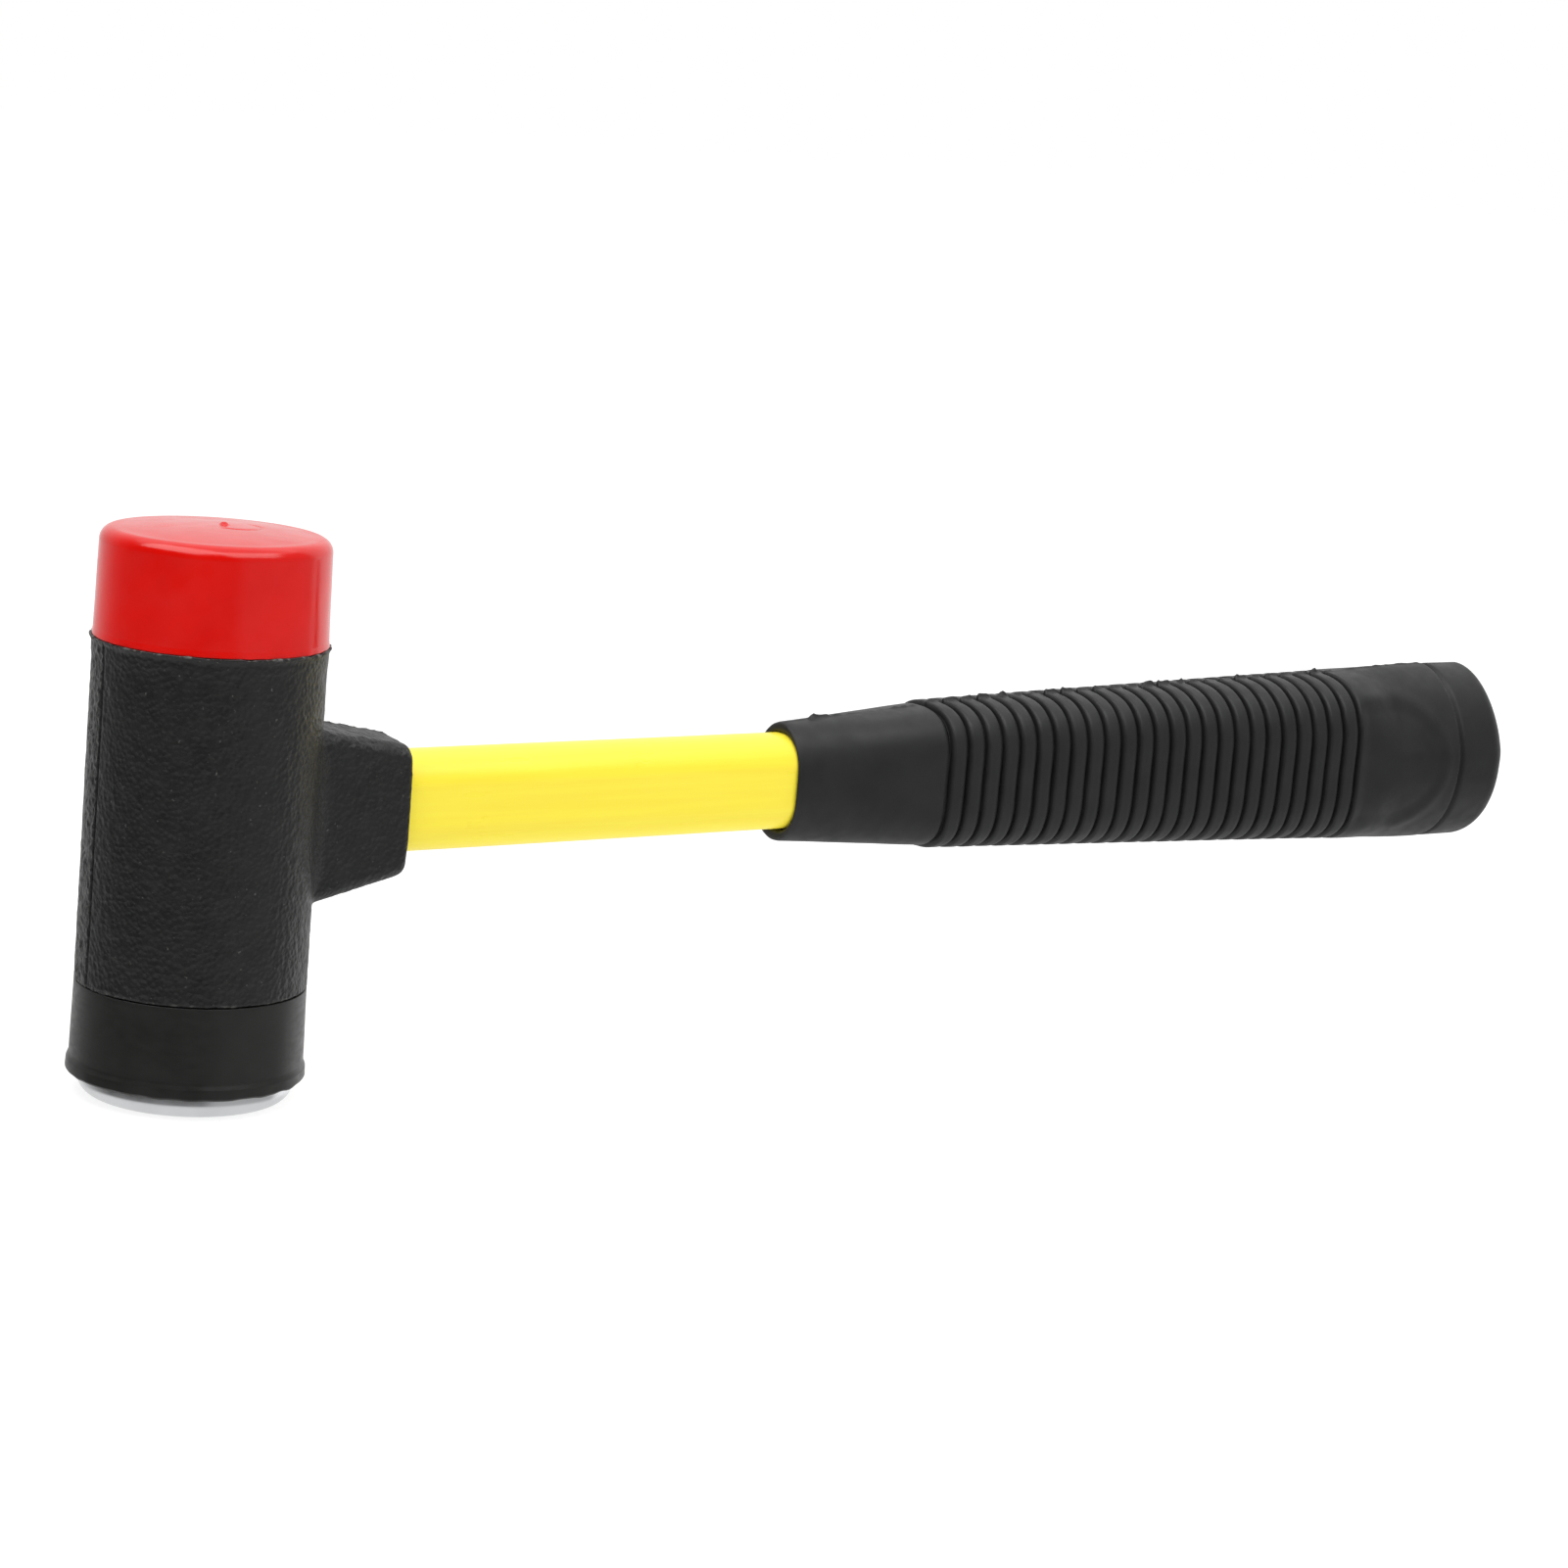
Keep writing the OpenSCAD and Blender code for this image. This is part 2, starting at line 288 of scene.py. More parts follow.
# ---------------------------------------------------------------- jacket
JACKET_R = CORE_R + 2.2
COUNTERBORE_R, COUNTERBORE_DEPTH = 19.4, 6  # the seats of the cap's skirt and the collar
GROOVE_DEPTH, GROOVE_THIN, GROOVE_HALF = 0.6, 0.35, 0.24  # GROOVE_THIN is what thin walls save
STRIP_END = 7.5  # how far the rough strip runs past the parting line
SOCKET_L = JACKET_HI[0] - 2.2 - CORE_R
SOCKET_A, SOCKET_A_TAPER = 10.3, 1.3
SOCKET_B, SOCKET_B_TAPER = 15.95, 3.45
SOCKET_CORNER, SOCKET_EDGE = 2.6, 1.2
PLUG_A, PLUG_B, PLUG_CORNER = 7.25, 9.95, 6.75
PLUG_X, PLUG_HALF, PLUG_MAX_R = 17.6, 1.55, 19.3


def smin(a, b, k):
    """Smaller of a and b with a fillet of about k between them."""
    h = np.clip(0.5 + 0.5 * (b - a) / k, 0, 1)
    return b + (a - b) * h - k * h * (1 - h)


def smax(a, b, k):
    return -smin(-a, -b, k)


def rect_distance(y, z, a, b, r):
    """Signed distance to a rectangle of half sizes a and b with corners of radius r."""
    qy, qz = np.abs(y) - a + r, np.abs(z) - b + r
    return np.hypot(np.maximum(qy, 0), np.maximum(qz, 0)) + np.minimum(np.maximum(qy, qz), 0) - r


def jacket_distance(p):
    """Signed distance to the moulded rubber, in mm, negative inside."""
    x, y, z = p[:, 0], p[:, 1], p[:, 2]
    hz = z - HANDLE_Z
    r = np.hypot(x, y)
    # the lip at the top flares a little, with a torn edge
    lip = 0.16 * smoothstep(JACKET_TOP - 4.2, JACKET_TOP - 1.6, z)
    tear = np.stack([x, y, 0 * z], axis=1)
    ragged = noise3(tear, 1.6, 5)
    lip += (0.4 + 0.16 * ragged) * smoothstep(JACKET_TOP - 1.1, JACKET_TOP, z)
    # parting line of the mould on the side away from the handle
    back = smoothstep(0, -4, x)
    thin = smoothstep(JACKET_TOP - 8, JACKET_TOP - 6.5, z)
    thin += smoothstep(JACKET_Z + 8, JACKET_Z + 6.5, z)
    groove = (GROOVE_DEPTH - GROOVE_THIN * thin) * np.exp(-((y / GROOVE_HALF) ** 2)) * back
    # rough strip beyond the parting line
    far = back * smoothstep(0.1, 0.5, y) * smoothstep(STRIP_END, STRIP_END - 2, y)
    rough = far * (0.02 + 0.13 * noise3(p, 1.3, 9) + 0.12 * noise3(p, 0.75, 10))
    wall = JACKET_R + lip + rough - groove
    top = JACKET_TOP + 0.2 * ragged * smoothstep(19.6, 20.2, r)
    # short bits of flash along the bottom edge, on both sides of the parting line
    bearing = np.arctan2(y, x)
    bits = np.maximum(0, noise3(tear, 1.3, 7)) * smoothstep(-2.0, -2.3, bearing)
    hang = 0.09 * noise3(tear, 1.1, 6) + 0.3 * bits + 0.25 * far
    bottom = JACKET_Z - hang * smoothstep(19.5, 20.0, r)
    cyl = smax(r - wall, np.maximum(z - top, bottom - z), 0.3)
    # tapered socket round the shaft, its mouth rounded more above than below
    t = np.clip((x - CORE_R) / SOCKET_L, -0.3, 1.2)
    a = SOCKET_A - SOCKET_A_TAPER * t
    b = SOCKET_B - SOCKET_B_TAPER * t - 0.2 * (hz < 0)
    draft = np.where(y > 0, 0.2, 0.1) * np.abs(y) * (hz > 0)
    pebbles = 0.13 * noise3(p * np.array([0.8, 1, 1]), 1.2, 23)
    pebbles *= smoothstep(7.5, 9.5, hz + 0.4 * np.abs(y))
    sec = rect_distance(y, hz + draft, a, b, SOCKET_CORNER) - pebbles
    edge = smoothstep(0.45, 0.85, np.abs(hz) / b)
    k = SOCKET_EDGE + edge * np.where(hz > 0, 0.7 + 2.2 * smoothstep(-3, 5, y), 0.7)
    flash = 0.16 * np.exp(-((y / 0.22) ** 2)) * (1 + 0.7 * noise3(p, 1.2, 21))
    socket = smax(sec - flash * (np.abs(hz) > 6), x - JACKET_HI[0], k)
    socket = np.maximum(socket, -x)
    d = smin(cyl, socket, 2.8 - 2.1 * smoothstep(0.55, 0.9, np.abs(hz) / b))
    # bore, the two counterbores and the shaft's hole
    d = np.maximum(d, CORE_R + JACKET_GAP - r)
    for hole in (JACKET_TOP - COUNTERBORE_DEPTH - z, z - JACKET_Z - COUNTERBORE_DEPTH):
        d = np.maximum(d, -np.maximum(r - COUNTERBORE_R, hole))
    shaft = rect_distance(y, hz, SHAFT_A + JACKET_GAP, SHAFT_B + JACKET_GAP, SHAFT_R + JACKET_GAP)
    d = smax(d, -np.maximum(shaft, -x), 0.35)
    # rubber that fills the blind end of the eye, kept inside the jacket's wall
    plug = np.maximum(rect_distance(y, hz, PLUG_A, PLUG_B, PLUG_CORNER),
                      np.abs(x + PLUG_X) - PLUG_HALF)
    plug = np.maximum(plug, r - PLUG_MAX_R)
    return np.minimum(d, plug)


def surface_nets(distance, lo, hi, h):
    """Quads of the surface where distance is zero, from cells of size h in the box lo to hi."""
    n = np.ceil((hi - lo) / h).astype(int) + 1
    axes = [lo[k] + h * np.arange(n[k]) for k in range(3)]
    field = np.empty(n, np.float32)
    yy, zz = np.meshgrid(axes[1], axes[2], indexing="ij")
    for i, x in enumerate(axes[0]):
        pts = np.stack([np.full(yy.size, x), yy.ravel(), zz.ravel()], axis=1)
        field[i] = distance(pts).reshape(yy.shape)
    corners = [(i, j, k) for i in (0, 1) for j in (0, 1) for k in (0, 1)]
    count = sum((field[i:n[0] - 1 + i, j:n[1] - 1 + j, k:n[2] - 1 + k] < 0).astype(np.int8)
                for i, j, k in corners)
    active = (count > 0) & (count < 8)
    index = np.full(active.shape, -1, np.int64)
    cells = np.argwhere(active)
    index[active] = np.arange(len(cells))
    total, hits = np.zeros((len(cells), 3)), np.zeros(len(cells))
    for c0 in corners:
        for ax in range(3):
            if c0[ax]:
                continue
            c1 = list(c0)
            c1[ax] = 1
            v0 = field[tuple((cells + c0).T)].astype(float)
            v1 = field[tuple((cells + c1).T)].astype(float)
            cross = (v0 < 0) != (v1 < 0)
            t = np.where(cross, v0 / np.where(cross, v0 - v1, 1), 0)
            spot = np.array(c0, float) + t[:, None] * (np.array(c1) - np.array(c0))
            total += spot * cross[:, None]
            hits += cross
    verts = lo + h * (cells + total / hits[:, None])
    faces = []
    for ax in range(3):
        u, v = (ax + 1) % 3, (ax + 2) % 3
        first = np.take(field, range(n[ax] - 1), axis=ax) < 0
        second = np.take(field, range(1, n[ax]), axis=ax) < 0
        e = np.argwhere(first != second)
        e = e[(e[:, u] > 0) & (e[:, v] > 0) & (e[:, u] < n[u] - 1) & (e[:, v] < n[v] - 1)]
        du, dv = np.eye(3, dtype=int)[u], np.eye(3, dtype=int)[v]
        quad = np.stack([index[tuple(w.T)] for w in (e, e - du, e - du - dv, e - dv)], axis=1)
        inward = ~first[tuple(e.T)]
        quad[inward] = quad[inward][:, ::-1]
        faces.append(quad)
    return verts, np.vstack(faces)


def settle(distance, p, rounds=3):
    """Moves points onto the zero surface along its gradient."""
    e = 0.02
    for _ in range(rounds):
        d = distance(p)
        g = np.stack([distance(p + e * np.eye(3)[k]) - d for k in range(3)], axis=1) / e
        step = d / np.maximum((g * g).sum(1), 0.25)
        p = p - np.clip(step, -0.3, 0.3)[:, None] * g
    return p


def build_jacket():
    lo = np.array([JACKET_LO[0] - 0.9, JACKET_LO[1] - 0.9, JACKET_Z - 0.7])
    hi = np.array([JACKET_HI[0] + 0.7, JACKET_HI[1] + 0.9, JACKET_TOP + 0.9])
    cell = 0.36
    verts, faces = surface_nets(jacket_distance, lo, hi, cell)
    ob = make_object("jacket_skin", verts, faces.tolist())
    # finer faces along the mould's parting line and round the lip
    bm = bmesh.new()
    bm.from_mesh(ob.data)
    near = []
    for edge in bm.edges:
        m = (edge.verts[0].co + edge.verts[1].co) / 2 / MM
        radius = math.hypot(m.x, m.y)
        rim = m.z > JACKET_TOP - 0.7 and radius > 19.6
        if rim or (m.x < -15 and abs(m.y) < 1.0 and radius > 19.2):
            near.append(edge)
    bmesh.ops.subdivide_edges(bm, edges=near, cuts=2, use_grid_fill=True)
    bm.to_mesh(ob.data)
    bm.free()
    p = np.empty(len(ob.data.vertices) * 3)
    ob.data.vertices.foreach_get("co", p)
    p = settle(jacket_distance, p.reshape(-1, 3) / MM)
    # moulded leather grain on the outside, none on the lip
    r = np.hypot(p[:, 0], p[:, 1])
    out = np.maximum(smoothstep(19.3, 19.9, r), smoothstep(0, 0.3, p[:, 0] - 20))
    out *= 1 - smoothstep(JACKET_TOP - 2.8, JACKET_TOP - 2.3, p[:, 2])
    grain = 0.052 * noise3(p * np.array([1, 1, 0.7]), 0.95, 31) + 0.036 * noise3(p, 0.6, 37)
    hz = p[:, 2] - HANDLE_Z
    away = np.stack([p[:, 0] / np.maximum(r, 1), p[:, 1] / np.maximum(r, 1), 0 * r], axis=1)
    on_socket = smoothstep(20.5, 23, p[:, 0])
    side_y = np.sign(p[:, 1]) * (np.abs(p[:, 1]) > 8)
    side_z = np.sign(hz) * (np.abs(hz) > 11)
    side = np.stack([0 * r, side_y, side_z], axis=1)
    push = away * (1 - on_socket)[:, None] + side * on_socket[:, None]
    p += (grain * out)[:, None] * push
    ob.data.vertices.foreach_set("co", (p * MM).ravel())
    ob.data.update()
    ob.data.polygons.foreach_set("use_smooth", [True] * len(ob.data.polygons))
    ob.data.set_sharp_from_angle(angle=math.radians(62))
    return place(ob, "mallet", "head_jacket")


# ---------------------------------------------------------------- collar, steel
COLLAR_R = 20.2


def build_collar():
    z0, z1, foot, bore = COLLAR_LO[2], COLLAR_HI[2], COLLAR_HI[0], CORE_R + GAP
    # its shoulder stops a little short of the jacket, which leaves a thin dark line
    shoulder = JACKET_Z - 0.14
    path = rounded_path([
        (bore, z0 + 0.5, 0), (CORE_R + 0.5, z0 + 0.02, 0.1), (foot - 0.25, z0, 0.12),
        (foot, z0 + 0.35, 0.15), (foot - 0.05, z0 + 1.9, 0.5), (COLLAR_R + 0.12, z0 + 2.6, 0.25),
        (COLLAR_R + 0.02, z0 + 2.95, 0.2), (COLLAR_R, z0 + 5, 3),
        (COLLAR_R - 0.17, JACKET_Z - 0.24, 0.06), (COLLAR_R - 0.5, shoulder, 0.05),
        (SKIRT_R, shoulder, 0.05), (SKIRT_R, z1, 0.3), (bore, z1, 0.1), (bore, z0 + 0.6, 0),
    ], steps=6, step_len=0.9)

    def change(v):
        r = np.hypot(v[:, 0], v[:, 1])
        push = 0.05 * noise3(v, 9, 12) * smoothstep(19, 20, r)
        # the foot is cut unevenly and reaches a little further on the side away from the handle
        foot_rim = smoothstep(z0 + 2.6, z0 + 1.2, v[:, 2]) * smoothstep(19.2, 20, r)
        around = np.stack([v[:, 0], v[:, 1], 0 * r], axis=1)
        push += foot_rim * (0.1 * noise3(around, 3.5, 14) + 0.22 * smoothstep(-17, -20, v[:, 0]))
        v[:, 2] += 0.16 * noise3(around, 2.2, 15) * smoothstep(z0 + 1.2, z0, v[:, 2]) * (r > 18)
        v[:, :2] *= (1 + push / np.maximum(r, 1))[:, None]
        return v

    ob = lathe("collar_skin", path, HEAD_SIDES, 50, closed=True, change=change)
    return place(ob, "mallet", "face_collar")


def build_steel():
    face_r, face_z, top = STEEL_HI[0], COLLAR_LO[2] - 0.05, STEEL_HI[2]
    face_round, top_bevel = 2.6, 1.2
    path = rounded_path([
        (0, 0, 0), (face_r - 5, 0.0, 0), (face_r, 0, face_round), (face_r, face_z, 0.15),
        (CORE_R, face_z, 0.1), (CORE_R, top - top_bevel, 0.25), (CORE_R - top_bevel, top, 0.25),
        (0, top, 0),
    ], steps=16, step_len=3)
    ob = lathe("steel_skin", path, 320, 40)
    # the eye through the bar, with room for the epoxy round the shaft
    n, room, reach = 96, 0.8, 25.0
    theta = np.linspace(0, FULL_TURN, n, endpoint=False)
    ray = round_rect(theta, SHAFT_A + room, SHAFT_B + room, SHAFT_R + room)
    y, z = ray * np.cos(theta), HANDLE_Z + ray * np.sin(theta)
    near, far = (np.stack([np.full(n, x), y, z], axis=1) for x in (-reach, reach))
    cutter = loft("eye_cutter", [[(-reach, 0, HANDLE_Z)], near, far, [(reach, 0, HANDLE_Z)]])
    cut = ob.modifiers.new("eye", "BOOLEAN")
    cut.operation, cut.object, cut.solver = "DIFFERENCE", cutter, "EXACT"
    made = bpy.data.meshes.new_from_object(ob.evaluated_get(bpy.context.evaluated_depsgraph_get()))
    ob.modifiers.clear()
    ob.data = made
    bpy.data.objects.remove(cutter)
    made.polygons.foreach_set("use_smooth", [True] * len(made.polygons))
    made.set_sharp_from_angle(angle=math.radians(40))
    return place(ob, "mallet", "steel_head")


# ---------------------------------------------------------------- shaft
def build_shaft():
    n, bevel = 144, 0.5
    theta = np.linspace(0, FULL_TURN, n, endpoint=False)
    x0, x1 = SHAFT_LO[0], SHAFT_HI[0]
    stops = [(x0, bevel), (x0 + bevel, 0)] + [(x, 0) for x in np.arange(x0 + 4, x1 - 2, 2.0)]
    stops += [(x1 - bevel, 0), (x1, bevel)]
    rings = [[(x0, 0, HANDLE_Z)]]
    for x, inset in stops:
        ray = round_rect(theta, SHAFT_A - inset, SHAFT_B - inset, SHAFT_R - inset)
        pts = np.stack([np.full(n, x), ray * np.cos(theta), ray * np.sin(theta)], axis=1)
        # pulled bar: long shallow waves along it, never proud of its size
        wave = -0.035 * (1 + noise3(pts * np.array([0.12, 1, 1]), 3.5, 41))
        inner = 1 + wave / ray
        pts[:, 1] *= inner
        pts[:, 2] *= inner
        pts[:, 2] += HANDLE_Z
        rings.append(pts)
    rings.append([(x1, 0, HANDLE_Z)])
    return place(loft("shaft_skin", rings, 50), "mallet", "handle_shaft")


# ---------------------------------------------------------------- grip
PITCH, GROOVES, RIB_DEPTH = 4.26, 26, 1.25
NOSE_L, BAND_L, BUTT_R = 34.3, 15.0, 5.6
BUTT_TOP_R = 4.8  # what the butt's rounding gains towards the top
BUTT_CROWN = 0.25
GROOVE_X = MOUTH_X + NOSE_L
RIBS_L = PITCH * (GROOVES - 1)
TAIL_X = GROOVE_X + RIBS_L
BAND_X = BUTT_X - BAND_L
# half widths A and half heights B, from the start 0 to the end 1 of the nose and of the ribs
NOSE_A0, NOSE_B0, NOSE_A1, NOSE_B1 = 7.3, 11.45, 10.35, 13.8
RIB_A0, RIB_B0, RIB_A1, RIB_B1 = 10.5, 14.3, 13.5, 17.5
TAIL_A, TAIL_B = GRIP_HI[1] + 0.4, (GRIP_HI[2] - GRIP_LO[2]) / 2 + 0.2
BAND_STEP, BAND_GROOVE, BAND_GROOVE_HALF = 0.06, 0.9, 0.55
# the pads on the tail's sides: how deep, where their edge starts and ends, and the ridge round it
PAD_DEPTH, PAD_IN, PAD_OUT = 0.55, 8.9, 11.4
PAD_RIDGE, PAD_RIDGE_R, PAD_RIDGE_HALF = 0.18, 11.6, 1.1
RIB_STATIONS = [0.0, 0.03, 0.05, 0.058, 0.075, 0.1, 0.13, 0.165, 0.2, 0.3, 0.42, 0.56,
                0.64, 0.72, 0.79, 0.85, 0.9, 0.93, 0.95, 0.97]  # in parts of the pitch
FLASH_BAND, FLASH_TAIL, FLASH_RIBS = 0.05, 0.18, 0.6


def grip_sizes(x):
    """Half width, half height and the two powers of the section at x."""
    if x < GROOVE_X:
        t = (x - MOUTH_X) / NOSE_L
        s = t * t * (3 - 2 * t)
        a, b = NOSE_A0 + (NOSE_A1 - NOSE_A0) * t, NOSE_B0 + (NOSE_B1 - NOSE_B0) * t
        return a, b, 2.1 + 0.4 * s, 2.3 + 1.6 * s
    if x < TAIL_X:
        t = (x - GROOVE_X) / RIBS_L
        return RIB_A0 + (RIB_A1 - RIB_A0) * t, RIB_B0 + (RIB_B1 - RIB_B0) * t, 2.5, 3.9
    t = min(1, (x - TAIL_X) / (BAND_X - TAIL_X))
    s = math.sin(t * math.pi / 2)
    k = float(smoothstep(0, 0.5, t))
    a, b = RIB_A1 + (TAIL_A - RIB_A1) * s, RIB_B1 + (TAIL_B - RIB_B1) * s
    return a, b, 2.5 - 0.5 * k, 3.9 - 1.85 * k


def grip_ray(x, theta):
    """Ray lengths of the section at x, which is egg-shaped: slimmer above, fuller below."""
    a, b, p, q = grip_sizes(x)
    egg = float(smoothstep(MOUTH_X + 10, TAIL_X, x))
    tail = float(smoothstep(TAIL_X, BAND_X, x))
    low = smoothstep(0.3, -0.3, np.sin(theta))
    dp = (1 - low) * -0.2 * egg + low * 0.1 * egg
    dq = (1 - low) * (-0.8 * egg * (1 - tail) - 0.45 * tail)
    dq += low * (0.5 * egg * (1 - tail) + 0.2 * tail)
    return superellipse(theta, a, b, p + dp, q + dq)


def rib_cut(x):
    """How far the surface lies under the ribs' outside at x: steep in front, rounded behind."""
    s = (x - GROOVE_X) / PITCH
    if s < -0.3 or s > GROOVES - 1 + 0.14:
        return 0.0
    f = s - math.floor(s)
    if s < 0:
        f = s + 1
    if s > GROOVES - 1:
        f = s - (GROOVES - 1)
    if f < 0.058 or f > 0.95:
        return RIB_DEPTH
    if f < 0.2:
        u = (0.2 - f) / 0.15
    elif f > 0.56:
        u = (f - 0.56) / 0.39
    else:
        return 0.0
    return RIB_DEPTH * (1 - math.sqrt(max(0, 1 - u * u)))


def flash_height(x):
    """Height of the rubber squeezed out at the mould's parting line."""
    if x > BAND_X - 2:
        return FLASH_BAND
    if x > TAIL_X:
        return FLASH_TAIL
    if x > GROOVE_X:
        return FLASH_RIBS
    patch = max(0, float(noise3(np.array([[x, 0, 0]]), 5, 66)[0]))
    return 0.1 + 0.6 * patch


def build_grip():
    n = 240
    base = np.linspace(0, FULL_TURN, n, endpoint=False)
    # more points at the parting line above and below
    extra = [math.radians(c + d) for c in (90, 270) for d in (-2.2, -1.1, -0.55, 0.55, 1.1, 2.2)]
    theta = np.sort(np.append(base, extra))
    n = len(theta)
    cos_t, sin_t = np.cos(theta), np.sin(theta)

    def ring(x, ray):
        droop = 0.2 - 0.08 * float(smoothstep(MOUTH_X, GROOVE_X, x))
        droop += 0.25 * float(smoothstep(TAIL_X - 30, BUTT_X, x))
        return np.stack([np.full(n, x), ray * cos_t, HANDLE_Z - droop + ray * sin_t], axis=1)

    pocket = round_rect(theta, SHAFT_A + GAP, SHAFT_B + GAP, SHAFT_R + GAP)
    end = SHAFT_HI[0] + GAP

    def bore(x):
        return np.stack([np.full(n, x), pocket * cos_t, HANDLE_Z + pocket * sin_t], axis=1)

    rings = [[(end, 0, HANDLE_Z)]] + [bore(x) for x in np.linspace(end, MOUTH_X + 1.2, 24)]
    # the mouth's lip rolls from the pocket to the outside
    outer = grip_ray(MOUTH_X, theta)
    for k in range(9):
        t = math.pi * k / 8
        mix = 0.5 - 0.5 * math.cos(t)
        mid = pocket + 0.1 + (outer - 0.1 - pocket) * mix
        rings.append(ring(MOUTH_X + 0.75 * (1 - math.sin(t)) ** 1.3, mid))
    # stations along the outside, close together over the ribs
    every = 1
    xs = list(np.linspace(MOUTH_X + 1.1, GROOVE_X - 1.6, 50))
    xs += [GROOVE_X - 1.4 + 0.12 * i for i in range(12)]
    for g in range(GROOVES - 1):
        xs += [GROOVE_X + PITCH * (g + f) for f in RIB_STATIONS[::every]]
    xs += [TAIL_X + PITCH * f for f in RIB_STATIONS[:9]]
    xs += list(np.linspace(TAIL_X + 1.8, BAND_X - 1.1, 60))
    xs += list(np.linspace(BAND_X - 0.9, BAND_X + 0.9, 15))
    xs += list(np.linspace(BAND_X + 1.2, BUTT_X - BUTT_R, 20))
    for x in xs:
        cut = rib_cut(x)
        groove = BAND_GROOVE * math.exp(-(((x - BAND_X) / BAND_GROOVE_HALF) ** 2))
        cut += groove + BAND_STEP * float(smoothstep(0, 0.4, x - BAND_X))
        ray = grip_ray(x, theta)
        up = ray * sin_t
        # thumb pads: the ribs' flat sides run on into the tail and end in an arc
        if x > TAIL_X:
            reach = np.hypot(max(x - TAIL_X - 12, 0) * 0.84, (up + 0.2) * 0.82)
            side = smoothstep(0.15, 0.45, np.abs(cos_t)) * float(smoothstep(0, 3.5, x - TAIL_X))
            ray = ray - side * PAD_DEPTH * (1 - smoothstep(PAD_IN, PAD_OUT, reach))
            ridge = np.exp(-(((reach - PAD_RIDGE_R) / PAD_RIDGE_HALF) ** 2))
            ray = ray + side * PAD_RIDGE * ridge
        ray = ray - cut
        pts = ring(x, ray)
        # hand-sized irregularity, and flash along the parting line above and below
        spot = np.stack([np.full(n, x), pts[:, 1], pts[:, 2]], axis=1)
        on_top = np.exp(-((pts[:, 1] / 0.42) ** 2)) * (np.abs(sin_t) > 0.8)
        spike = np.maximum(0, 0.75 + 1.1 * noise3(spot, 1.1, 61)) * flash_height(x)
        spike = spike * np.where(sin_t > 0, 1, 0.35)
        lift = 0.03 * noise3(spot, 5, 55) + on_top * spike
        factor = lift / np.maximum(ray, 1)
        pts[:, 1] += (ray * cos_t) * factor
        pts[:, 2] += (ray * sin_t) * factor
        if GROOVE_X - 1 < x < TAIL_X + 1:
            pts[:, 0] += 0.1 * noise3(spot * np.array([0.2, 1, 1]), 4, 71)
        rings.append(pts)
    # butt: a quarter turn in, then a slightly crowned end
    butt = grip_ray(BUTT_X, theta)
    top_r = BUTT_TOP_R * (1 - np.sqrt(1 - np.clip(sin_t, 0, 1) ** 2))
    for k in range(1, 17):
        t = math.pi / 2 * k / 16
        inset = (BUTT_R + top_r) * (1 - math.cos(t)) + BAND_STEP
        x = BUTT_X - BUTT_CROWN - (BUTT_R - BUTT_CROWN) * (1 - math.sin(t))
        rings.append(ring(x, butt - inset))
    inner = butt - BUTT_R - top_r - BAND_STEP
    for t in (0.85, 0.6, 0.35, 0.15):
        rings.append(ring(BUTT_X - BUTT_CROWN * t * t, inner * t))
    rings.append([(BUTT_X, 0, HANDLE_Z)])
    return place(loft("grip_skin", rings, 65), "mallet", "grip")


cap = build_cap()
jacket = build_jacket()
collar = build_collar()
steel = build_steel()
shaft = build_shaft()
grip = build_grip()
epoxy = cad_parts["eye_epoxy"]


# ---------------------------------------------------------------- materials
RANGE_SOCKETS = ("From Min", "From Max", "To Min", "To Max")


